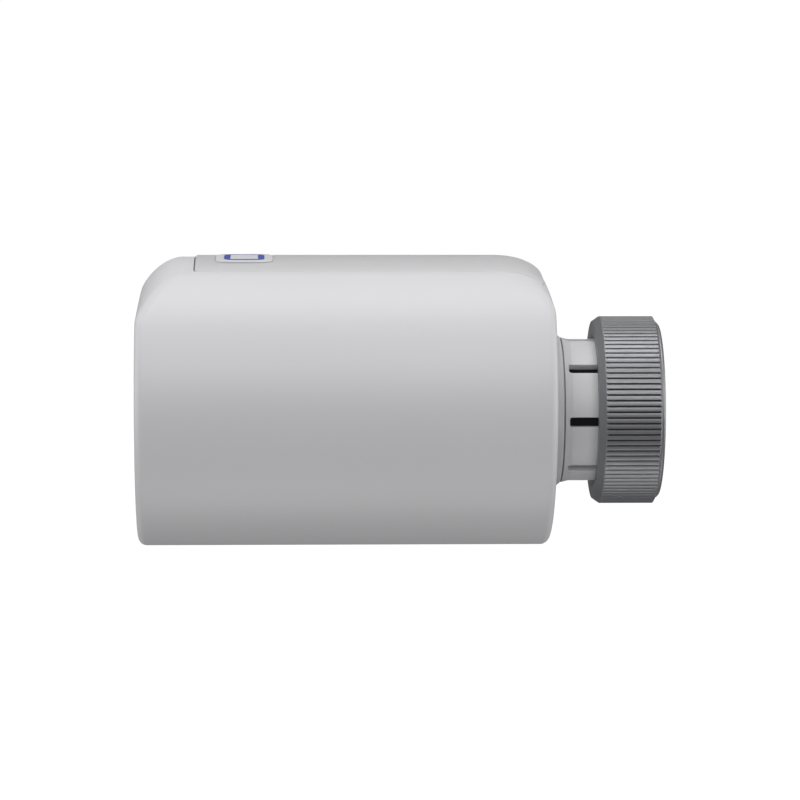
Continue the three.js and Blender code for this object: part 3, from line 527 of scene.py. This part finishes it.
def metal(name, color, roughness):
    """Turned or plated metal: fine tool lines along X, uneven gloss."""
    nodes = Nodes(name)
    patches = nodes.noise(5, 2.0)
    nodes.tint(patches, color, 0.95, 1.04)
    lines = nodes.noise(0.12, 2.0, (0.06, 1, 1))
    nodes.between(lines, roughness - 0.05, roughness + 0.07, nodes.shader.inputs["Roughness"])
    nodes.bump(lines, 0.3, 0.003)
    nodes.shader.inputs["Metallic"].default_value = 1.0
    return nodes.material


MATERIALS = {
    "housing_white": plastic("housing_white", (0.70, 0.70, 0.715), 0.44),
    "panel_grey": plastic("panel_grey", (0.61, 0.61, 0.62), 0.36, grain=0.1, depth=0.002),
    "neck_grey": plastic("neck_grey", (0.60, 0.60, 0.61), 0.46),
    "nut_metal": metal("nut_metal", (0.30, 0.303, 0.316), 0.5),
    "ring_blue": plastic("ring_blue", (0.045, 0.075, 0.40), 0.5, grain=0.3, depth=0.001),
    "black_plastic": plastic("black_plastic", (0.02, 0.02, 0.022), 0.5),
    "board_green": plastic("board_green", (0.02, 0.11, 0.05), 0.35, grain=0.4, coat=0.4),
    "chassis_grey": plastic("chassis_grey", (0.17, 0.18, 0.2), 0.5),
    "cell_sleeve": plastic(
        "cell_sleeve", (0.03, 0.09, 0.26), 0.25, grain=1.0, depth=0.001, coat=0.5
    ),
    "gear_plastic": plastic("gear_plastic", (0.74, 0.69, 0.55), 0.4),
    "pinion_brass": metal("pinion_brass", (0.62, 0.42, 0.12), 0.28),
    "wire_red": plastic("wire_red", (0.36, 0.02, 0.02), 0.5),
    "steel": metal("steel", (0.55, 0.56, 0.58), 0.28),
}
SLOTS = {part["node"]: part["material_slot"] for part in frame["record"]["subparts"]}


def finish_cad_nodes():
    """Every carried-over CAD node takes its slot's procedural material."""
    for name, node in frame["nodes"].items():
        node.data.materials.clear()
        node.data.materials.append(MATERIALS[SLOTS[name]])


# ---------------------------------------------------------------- body pieces


NECK_ROOT = 12.6  # the neck's radius inside the end cap
BUTTON_FLANGE = 0.7  # the hidden flange reaches this far past the visible cap
BUTTON_X = (cap_low.x + cap_high.x) / 2
BUTTON_HALF = (cap_high.x - BUTTON_X - BUTTON_FLANGE, cap_high.y - BUTTON_FLANGE)
BUTTON_CORNER = 2.2
EDGE_STEPS = 6  # faces round the button's small edges
PANEL_HALF = panel_high.y
PANEL_CORNER = 1.0
# the strip's two faces, as depths below the body's top
STRIP_UPPER, STRIP_LOWER = -STRIP_PROUD, 0.95
STRIP_FIT = 0.03  # beside its long edges the strip fits closely; the gap is at its ends
STRIP_LEFT_GAP = 0.22
BUTTON_FIT = 0.05  # the button fits closely at its two ends; the gap is beside them
END_PLATE_ROUND = 0.25
RECESS_EDGE = 0.05


def button_cutter(name):
    """The button's opening, right through the shell and the strip."""
    half_length, half_width = BUTTON_HALF
    size = (half_length + BUTTON_FIT, half_width + GAP, BUTTON_CORNER + BUTTON_FIT)
    return loft(name, [rounded_loop(BUTTON_X, *size, z) for z in (TOP_Z - 5, TOP_Z + 3)])


def make_housing_shell():
    """The sleeve, open at both ends, with the strip's recess and the button's opening."""
    made = body_solid("housing_shell_skin", fillet=FILLET)
    left_top, right_top = TOP_Z - LEFT_CORNER[1] - GAP, TOP_Z - RIGHT_CORNER[1] - GAP
    recess = strip_solid(
        "recess",
        panel_low.x - STRIP_LEFT_GAP,
        panel_high.x + GAP,
        upper=-3,  # well above the top
        lower=STRIP_LOWER + GAP,
        half_width=PANEL_HALF + STRIP_FIT,
        edge=RECESS_EDGE,
        slope=RECESS_EDGE,
        corner=PANEL_CORNER + STRIP_FIT,
    )
    cutters = [
        body_solid("cavity", inset=WALL),
        end_plate("left_mouth", LEFT - 1, LEFT + WALL + 1, CAVITY_RADIUS, left_top),
        end_plate("right_mouth", RIGHT - WALL - 1, RIGHT + 1, CAVITY_RADIUS, right_top),
        recess,
        button_cutter("button_hole"),
    ]
    combine(made, cutters)
    soften(made, 0.12)
    place(made, "housing_shell", "housing", MATERIALS["housing_white"])


def make_display_panel():
    """The strip let into the top, with the button's opening."""
    made = strip_solid(
        "display_strip",
        panel_low.x,
        panel_high.x,
        upper=STRIP_UPPER,
        lower=STRIP_LOWER,
        half_width=PANEL_HALF,
        edge=0.33,
        slope=1.2,
        corner=PANEL_CORNER,
    )
    combine(made, [button_cutter("panel_hole")])
    soften(made, 0.1)
    place(made, "display_panel", "housing", MATERIALS["panel_grey"])


def make_battery_cover():
    """The door, with a fingernail notch at its foot and a latch on each side."""
    thickness, latch_end, latch_half = 2, 3.6, 3
    latch_edges = PLATE_RADIUS - 1.2, PLATE_RADIUS - 0.15
    notch_half, notch_depth, notch_height = 6, 0.9, 1.4
    made = end_plate("battery_door", LEFT, LEFT + thickness, PLATE_RADIUS, cover_high.z)
    foot = CENTRE_Z - PLATE_RADIUS
    notch_high = (LEFT + notch_depth, notch_half, foot + notch_height)
    notch = box_solid("notch", (LEFT - 1, -notch_half, foot - 1), notch_high)
    latches = []
    for side in (-1, 1):
        y0, y1 = sorted(side * edge for edge in latch_edges)
        low = (LEFT + 1, y0, CENTRE_Z - latch_half)
        latches.append(box_solid("latch", low, (LEFT + latch_end, y1, CENTRE_Z + latch_half)))
    combine(made, latches, "UNION")
    combine(made, [notch])
    soften(made, END_PLATE_ROUND, segments=3)
    place(made, "battery_cover", "cover", MATERIALS["housing_white"])


def make_end_cap(curve_steps=16):
    """The right end face and the boss that flares round the neck's foot."""
    bore = NECK_ROOT + GAP
    top = TOP_Z - RIGHT_CORNER[1] - 2 * GAP
    made = end_plate("end_face", RIGHT - WALL, RIGHT, PLATE_RADIUS, top)
    soften(made, END_PLATE_ROUND, segments=3)
    flare_end, flare_radius, edge_radius, power = end_high.x, 15.9, 14.0, 1.2
    boss_foot = RIGHT - 1.2
    curve = []
    for share in [k / curve_steps for k in range(curve_steps + 1)]:
        x = RIGHT + (flare_end - RIGHT) * share
        curve.append((x, edge_radius + (flare_radius - edge_radius) * (1 - share) ** power))
    profile = [(boss_foot, bore), (boss_foot, flare_radius), *curve, (flare_end, bore)]
    boss = lathe("boss", profile)
    hole = lathe("hole", [(RIGHT - 5, bore), (RIGHT + 4, bore)], closed=False)
    combine(made, [hole])
    combine(made, [boss], "UNION")
    smooth(made)
    place(made, "end_cap", "housing", MATERIALS["housing_white"])


# ---------------------------------------------------------------- button


def make_button():
    """The crowned cap with its hidden flange, and the light guide sunk in a frame on its face."""
    half_length, half_width = BUTTON_HALF
    apex, bottom = cap_high.z, cap_low.z
    # the wall below the lip is undercut, which leaves a shadow line round the cap
    crown, edge, lip, undercut = 0.24, 0.16, 0.3, 0.35
    rim = apex - crown
    ring_half = (ring_high.x - BUTTON_X, ring_high.y)
    line, corner, depth = 1.1, 1.4, 0.5
    quarter_turn = [math.pi / 2 * k / EDGE_STEPS for k in range(EDGE_STEPS + 1)]

    def outline(shrink, z):
        size = (half_length - shrink, half_width - shrink, BUTTON_CORNER - shrink)
        return rounded_loop(BUTTON_X, *size, z)

    def on_face(loop, drop=0):
        """The loop laid on the crowned face, highest in the middle, or sunk below it."""
        made = []
        for x, y, _ in loop:
            along, across = (x - BUTTON_X) / (half_length - edge), y / (half_width - edge)
            made.append((x, y, apex - crown * min(1, math.sqrt(along**4 + across**4)) - drop))
        return made

    def frame_loop(shrink, drop=0):
        size = (ring_half[0] - shrink, ring_half[1] - shrink, max(0.25, corner - shrink))
        return on_face(rounded_loop(BUTTON_X, *size, 0), drop)

    def round_over(radius):
        """(inward, downward) steps round an edge, from its side to its top."""
        return [(radius * (1 - math.cos(t)), radius * (1 - math.sin(t))) for t in quarter_turn]

    def towards(loop, target, share):
        return on_face([Vector(a).lerp(Vector(b), share) for a, b in zip(loop, target)])

    flange_top = bottom + 0.6
    loops = [outline(-BUTTON_FLANGE, z) for z in (bottom, flange_top)]
    loops += [outline(undercut, z) for z in (flange_top, rim - 2, rim - lip)]
    loops += [outline(0, rim - lip)]
    loops += [outline(inward, rim - down) for inward, down in round_over(edge)]
    # the groove for the light guide: its outer and inner edges are rounded a little
    fit, rounding = 0.04, 0.04
    shore = frame_loop(-0.06)
    loops += [towards(loops[-1], shore, share) for share in (0.3, 0.6)]
    loops += [shore, frame_loop(-fit, rounding), frame_loop(-fit, depth)]
    loops += [frame_loop(line + fit, depth), frame_loop(line + fit, rounding)]
    island = frame_loop(line + fit + rounding)
    middle = [(BUTTON_X, 0, 0)] * len(island)
    loops += [island] + [towards(island, middle, share) for share in (0.35, 0.7, 0.95)]
    cap = loft("button_face", loops)
    place(cap, "button_cap", "button", MATERIALS["housing_white"])

    soft, sunk = 0.12, 0.02
    outer = [frame_loop(inward, sunk + down) for inward, down in round_over(soft)]
    inner = [frame_loop(line - inward, sunk + down) for inward, down in reversed(round_over(soft))]
    floor = depth - 0.03
    guide = [frame_loop(0, floor), *outer, *inner, frame_loop(line, floor)]
    glow = loft("light_guide", guide, closed=True)
    place(glow, "button_light_ring", "button", MATERIALS["ring_blue"])


# ---------------------------------------------------------------- neck, nut and plunger


KEY_RADIUS, KEY_HALF = 10.3, 1.2  # the plunger's two keys slide in the neck's keyways


def make_collar():
    """The slotted neck, with the guide inside its foot that the plunger slides in."""
    left, front = collar_low.x, collar_high.x
    radius, shoulder_radius, lip, bore, guide = 13.45, 13.81, 14.9, 11.9, 9.4
    shoulder, taper_end, lip_length, guide_end, slot_start = -18.5, -17.1, 1.7, -18.6, -17.7
    lip_edge = 0.6
    profile = rounded(
        [
            (left, guide, 0),
            (left, NECK_ROOT, 0),
            (shoulder, NECK_ROOT, 0),
            (shoulder, shoulder_radius, 0.12),
            (taper_end, radius, 0.6),
            (front - lip_length, radius, 0.2),
            (front - lip_length, lip, 0.2),
            (front - lip_edge, lip, 0.3),
            (front, lip - lip_edge, 0.3),
            (front, bore, 0.25),
            (guide_end, bore, 0.3),
            (guide_end, guide, 0.2),
        ],
        closed=True,
    )
    made = lathe("slotted_neck", profile, 192)
    slots, half_slot = 8, 0.95
    for i in range(slots):
        turn = 2 * math.pi * i / slots
        combine(made, [slot_cutter(slot_start, front + 1, half_slot, lip + 1, turn)])
    key_reach, key_side = KEY_RADIUS + GAP, KEY_HALF + GAP
    low, high = (left - 1, -key_reach, -key_side), (guide_end + 1, key_reach, key_side)
    combine(made, [box_solid("keyways", low, high)])
    smooth(made)
    soften(made, 0.08)
    place(made, "valve_collar", "housing", MATERIALS["neck_grey"])


def slot_cutter(start, end, half, reach, turn, inner=10.4, corner=0.45):
    """A radial slot whose closed end has rounded corners."""
    corners = [(start, -half, corner), (end, -half, 0), (end, half, 0), (start, half, corner)]
    outline = rounded(corners, closed=True)
    loops = []
    for radius in (inner, reach):
        loop = []
        for x, across in outline:
            y = -radius * math.cos(turn) - across * math.sin(turn)
            z = -radius * math.sin(turn) + across * math.cos(turn)
            loop.append((x, y, z))
        loops.append(loop)
    return loft("slot", loops)


NUT_RIDGES = 104
KNURL_DEPTH = 0.5
KNURL_RUN_OUT = 0.5
KNURL_RADIUS = nut_high.y
# share of a pitch from the groove's middle, and share of the full depth there
GROOVE = [
    (-0.5, 0),
    (-0.3, 0.02),
    (-0.17, 0.06),
    (-0.1, 0.4),
    (0, 1),
    (0.1, 0.4),
    (0.17, 0.06),
    (0.3, 0.02),
]


def straight_rows(start, end, steps, first=1):
    """(x, radius) rows at equal steps from one point to another."""
    (x0, r0), (x1, r1) = start, end
    shares = [k / steps for k in range(first, steps + 1)]
    return [(x0 + (x1 - x0) * share, r0 + (r1 - r0) * share) for share in shares]


def make_union_nut():
    """The knurled nut: its outside from left to right, then its thread, relief and inner flange."""
    left, right = nut_low.x, nut_high.x
    face, chamfer = 16.9, 1.3
    shoulder = left + chamfer
    run_out = shoulder + KNURL_RUN_OUT
    knurl_end, lip_start, lip = right - 1.1, right - 0.65, 16.7
    groove = (knurl_end + 0.4, KNURL_RADIUS - 0.75)  # the foot of the slope after the knurl
    mouth, face_edge = 14.5, 0.15
    rows = rounded([(left, mouth, 0), (left, face, face_edge)])
    # fine steps along the chamfer and the start of the knurl, where the grooves run out
    rows += straight_rows((left, face), (shoulder, KNURL_RADIUS), 10, first=0)
    rows += straight_rows((shoulder, KNURL_RADIUS), (run_out, KNURL_RADIUS), 8)
    rows += straight_rows((run_out, KNURL_RADIUS), (knurl_end, KNURL_RADIUS), 6)
    rows += straight_rows((knurl_end, KNURL_RADIUS), groove, 6)
    lip_profile = [
        (lip_start - 0.02, lip + 0.25, 0),
        (lip_start, lip, 0.05),
        (right - 0.35, lip, 0.1),
        (right, lip - 0.4, 0.2),
        (right, 14.99, 0.05),
    ]
    rows += rounded(lip_profile, steps=4)
    entry, thread_end, minor, relief = 0.8, -7.9, 14.19, 15.3
    thread_start, thread_steps = right - 0.02, 46
    for k in range(thread_steps + 1):
        rows.append((thread_start + (thread_end - thread_start) * k / thread_steps, None))
    flange_face, flange_bore, bore_edge = left + 2.25, 13.8, left + 0.7
    rows += [(thread_end, relief), (flange_face, relief)]
    rows += [(flange_face, flange_bore), (bore_edge, flange_bore)]

    def thread(x, turn):
        return thread_radius(x, turn, right, entry, minor, thread_end)

    loops = [nut_ring(x, radius, shoulder, thread) for x, radius in rows]
    made = loft("knurled_nut", loops, closed=True, smooth_angle=38)
    place(made, "union_nut", "nut", MATERIALS["nut_metal"])


def nut_ring(x, radius, knurl_start, thread):
    """One ring of the nut: grooved outside, threaded where no radius is given."""
    cut = KNURL_DEPTH * min(1, max(0, (x - knurl_start + 0.1) / KNURL_RUN_OUT))
    loop = []
    for i in range(NUT_RIDGES):
        for share, depth in GROOVE:
            turn = 2 * math.pi * (i + 0.5 + share) / NUT_RIDGES
            if radius is None:
                local = thread(x, turn)
            elif radius > KNURL_RADIUS - KNURL_DEPTH:
                local = min(radius, KNURL_RADIUS - cut * depth)
            else:
                local = radius
            loop.append((x, local * math.cos(turn), local * math.sin(turn)))
    return loop


def thread_radius(x, turn, right, entry, minor, thread_end, pitch=1.5, depth=0.8):
    """A right-handed internal thread that fades out at its mouth and its far end."""
    phase = (x / pitch - turn / (2 * math.pi)) % 1
    ridge = min(1, max(0, (1 - abs(2 * phase - 1)) * 1.5 - 0.12))
    radius = minor + depth * ridge
    mouth = minor + max(0, entry - (right - x))
    fade = min(1, max(0, (x - thread_end) / 0.5))
    return max(mouth, minor + (radius - minor) * fade)


def make_plunger():
    """The push pad: a dished face, a bore for the drive screw and a key on each side."""
    face, back = plunger_high.x, plunger_low.x
    radius, bore, bore_end, key_length = 9.1, 2.65, face - 3.7, 3.4
    dish, centre = face - 0.4, face - 0.1
    profile = rounded(
        [
            (back, bore, 0),
            (back, radius, 0.2),
            (face, radius, 0.5),
            (face, 6.4, 0.1),
            (dish, 6.1, 0.2),
            (dish, 2.6, 0.2),
            (centre, 2.3, 0.15),
            (centre, 0.01, 0),
            (face - 3, 0.01, 0),
            (bore_end, bore, 0),
        ],
        closed=True,
    )
    made = lathe("push_pad", profile, 128)
    key_low, key_high = (back, -KEY_RADIUS, -KEY_HALF), (back + key_length, KEY_RADIUS, KEY_HALF)
    keys = box_solid("keys", key_low, key_high)
    hollow = lathe("hollow", [(back - 1, bore), (bore_end, bore)], 64, closed=False)
    combine(made, [keys], "UNION")
    combine(made, [hollow])
    smooth(made)
    place(made, "plunger", "drive", MATERIALS["black_plastic"])


# ---------------------------------------------------------------- batteries


def make_cells():
    """Two AA cells, the second turned end for end."""
    for side, node in ((-1, "battery_cell_front"), (1, "battery_cell_rear")):
        low, high = extent(node)
        x0, x1 = low.x, high.x
        radius = (high.y - low.y) / 2
        y, z = (low.y + high.y) / 2, (low.z + high.z) / 2
        profile = [
            (0, 0.01, 0),
            (0, 2.7, 0.3),
            (1.2, 2.7, 0.2),
            (1.2, 5.2, 0.1),
            (0.95, 5.6, 0.2),
            (0.95, 7.0, 0.15),
            (1.3, radius, 0.3),
            (50.2, radius, 0.4),
            (50.35, 6.4, 0.15),
            (50.5, 5.8, 0.1),
            (50.5, 0.01, 0),
        ]
        placed = [(x0 + x if side < 0 else x1 - x, r, f) for x, r, f in profile]
        name = f"aa_cell_{node.split('_')[-1]}"
        made = lathe(name, rounded(placed), 96, (y, z), closed=False)
        place(made, node, "housing", MATERIALS["cell_sleeve"])


# ---------------------------------------------------------------- scene


def look_from(target, azimuth, elevation, distance):
    """The place and rotation from which something looks at the target."""
    a, e = math.radians(azimuth), math.radians(elevation)
    away = Vector((math.sin(a) * math.cos(e), -math.cos(a) * math.cos(e), math.sin(e)))
    return target + away * distance, (-away).to_track_quat("-Z", "Y")


def make_camera():
    """A long lens a little above the object's middle and to its left, tipped very slightly."""
    scale, distance, frame_pixels = 0.19, 712, 800  # scale is millimetres in a pixel
    azimuth, elevation, roll = -2.1, 10.2, 0.27
    target = Vector((LEFT / 2 + 0.29, 0, 1.92)) * MM
    camera = bpy.data.objects.new("camera", bpy.data.cameras.new("camera"))
    bpy.context.scene.collection.objects.link(camera)
    camera.rotation_mode = "QUATERNION"
    camera.location, aim = look_from(target, azimuth, elevation, distance * MM)
    camera.rotation_quaternion = aim @ Quaternion((0, 0, 1), math.radians(roll))
    camera.data.sensor_width = 36
    camera.data.lens = camera.data.sensor_width * distance / (scale * frame_pixels)
    camera.data.clip_start = 0.01
    bpy.context.scene.camera = camera


def make_light(name, azimuth, elevation, power):
    """A soft box that looks at the object's middle."""
    light = bpy.data.lights.new(name, "AREA")
    light.shape = "RECTANGLE"
    light.size, light.size_y = LIGHT_SIZE
    light.energy = power
    made = bpy.data.objects.new(name, light)
    bpy.context.scene.collection.objects.link(made)
    made.rotation_mode = "QUATERNION"
    centre = (CAD_BOX[0] + CAD_BOX[1]) / 2
    made.location, turn = look_from(centre, azimuth, elevation, LIGHT_DISTANCE)
    made.rotation_quaternion = turn


# name, azimuth and elevation in degrees, power in watts
LIGHTS = [
    ("top", 0, 90, 4.35),
    ("key", 0, 33, 3.0),
    ("under", 0, -70, 1.95),
    ("left", -90, 5, 3.0),
    ("right", 90, 5, 3.0),
    ("back", 180, 40, 0.5),
]
LIGHT_DISTANCE, LIGHT_SIZE = 0.9, (0.7, 0.5)  # metres
AMBIENT = 0.18


def make_lights():
    """The soft boxes, a little light from all round, and white behind everything."""
    for light in LIGHTS:
        make_light(*light)
    world = bpy.data.worlds.new("studio")
    bpy.context.scene.world = world
    world.use_nodes = True
    tree = world.node_tree
    ambient = tree.nodes["Background"]
    ambient.inputs["Color"].default_value = (1, 1, 1, 1)
    ambient.inputs["Strength"].default_value = AMBIENT
    backdrop = tree.nodes.new("ShaderNodeBackground")
    backdrop.inputs["Color"].default_value = (1, 1, 1, 1)
    rays = tree.nodes.new("ShaderNodeLightPath")
    mix = tree.nodes.new("ShaderNodeMixShader")
    tree.links.new(rays.outputs["Is Camera Ray"], mix.inputs["Fac"])
    tree.links.new(ambient.outputs[0], mix.inputs[1])
    tree.links.new(backdrop.outputs[0], mix.inputs[2])
    tree.links.new(mix.outputs[0], tree.nodes["World Output"].inputs["Surface"])


def make_floor():
    """A plain pale floor under the body, evenly bright so that it shows no shadow."""
    z = CAD_BOX[0].z
    size = 3.0
    mesh = bpy.data.meshes.new("floor")
    corners = [(-size, -size, z), (size, -size, z), (size, size, z), (-size, size, z)]
    mesh.from_pydata(corners, [], [(0, 1, 2, 3)])
    floor = bpy.data.objects.new("floor", mesh)
    bpy.context.scene.collection.objects.link(floor)
    nodes = Nodes("floor_white")
    nodes.shader.inputs["Base Color"].default_value = (0, 0, 0, 1)
    nodes.shader.inputs["Emission Color"].default_value = (1, 1, 1, 1)
    nodes.shader.inputs["Emission Strength"].default_value = 1
    mesh.materials.append(nodes.material)
    floor.visible_diffuse = False
    floor.visible_glossy = False
    floor.visible_shadow = False


make_camera()
make_lights()
make_floor()
finish_cad_nodes()
make_housing_shell()
make_display_panel()
make_battery_cover()
make_end_cap()
make_button()
make_collar()
make_union_nut()
make_plunger()
make_cells()
bpy.context.scene.view_settings.view_transform = "Standard"
